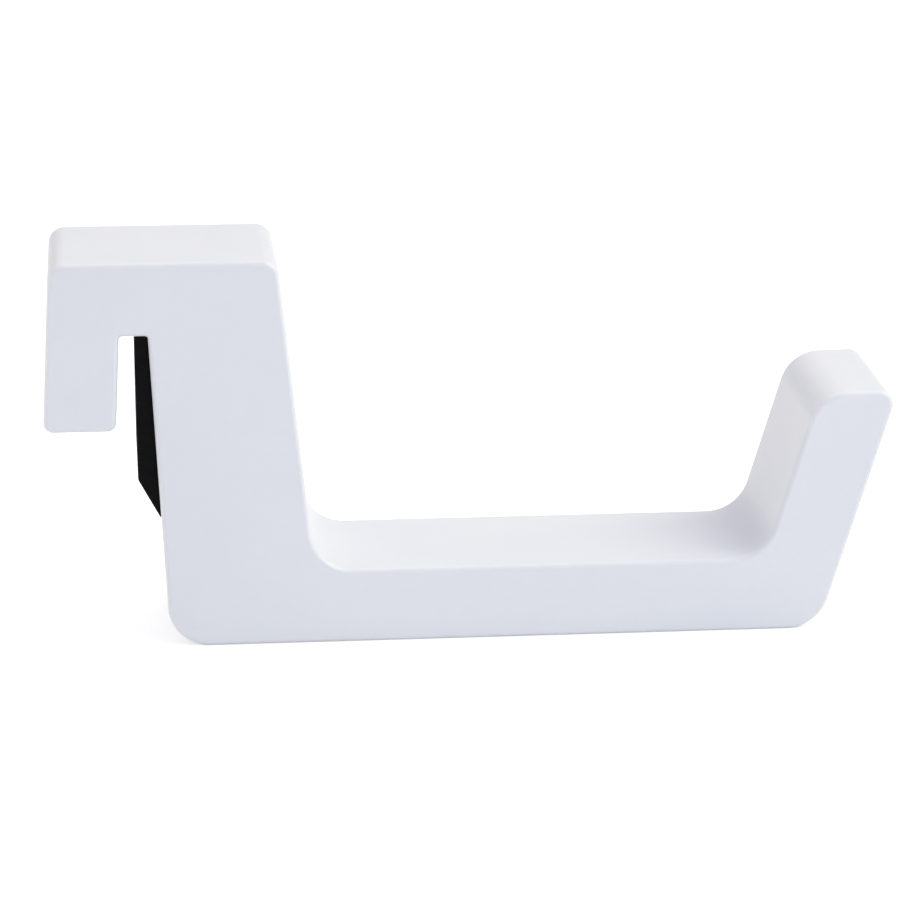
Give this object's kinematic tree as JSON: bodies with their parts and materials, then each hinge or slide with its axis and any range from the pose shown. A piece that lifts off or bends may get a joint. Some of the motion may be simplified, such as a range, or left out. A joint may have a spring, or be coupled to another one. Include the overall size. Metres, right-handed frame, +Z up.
{
  "type": "headphone hook",
  "caption": "White moulded hook that drops over a thin panel's top edge and carries a headset on a level arm with an upturned tip.",
  "frame": {"origin": "middle of the free strip of the slot's ceiling, where the panel's top edge seats, at mid-depth", "axes": "+X along the arm, away from the panel; +Y from the front face to the rear face; +Z up"},
  "size_m": [0.1077, 0.02, 0.0504],
  "materials": {
    "body_plastic": "satin",
    "pad_rubber": "matte",
    "adhesive_film": "matte"
  },
  "bodies": {
    "root": {"front_shell": "body_plastic", "rear_cover": "body_plastic", "grip_pad": "pad_rubber", "pad_adhesive": "adhesive_film"}
  },
  "joints": []
}
